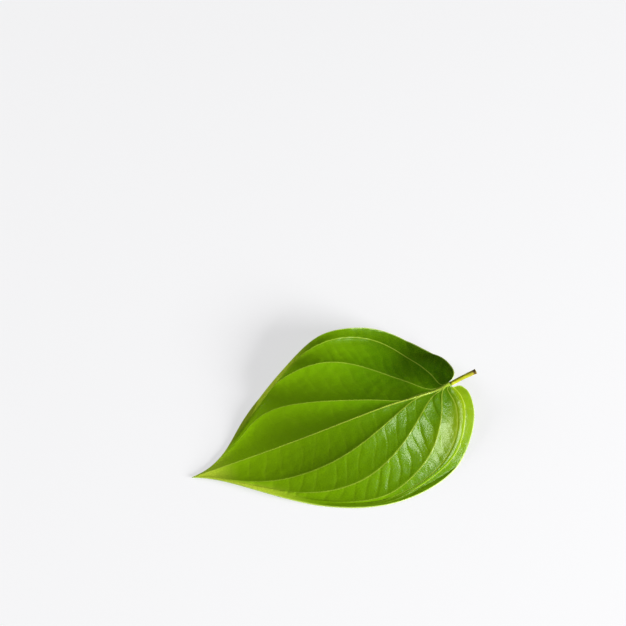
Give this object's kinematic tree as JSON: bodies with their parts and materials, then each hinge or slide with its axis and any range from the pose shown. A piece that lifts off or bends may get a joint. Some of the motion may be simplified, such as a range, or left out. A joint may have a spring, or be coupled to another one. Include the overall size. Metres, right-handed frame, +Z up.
{
  "type": "betel leaf",
  "caption": "Fresh heart-shaped betel leaf with curved veins, a pointed tip and a short cut petiole, lying face up on a flat surface.",
  "frame": {"origin": "under the middle of the leaf's box, on the surface it lies on", "axes": "+X from the tip towards the petiole, +Y across the blade towards its raised margin, +Z up"},
  "size_m": [0.1374, 0.0938, 0.0128],
  "materials": {
    "leaf": "waxy satin, glossy where the blade swells between the veins"
  },
  "bodies": {
    "root": {"betel_leaf": "leaf"}
  },
  "joints": []
}
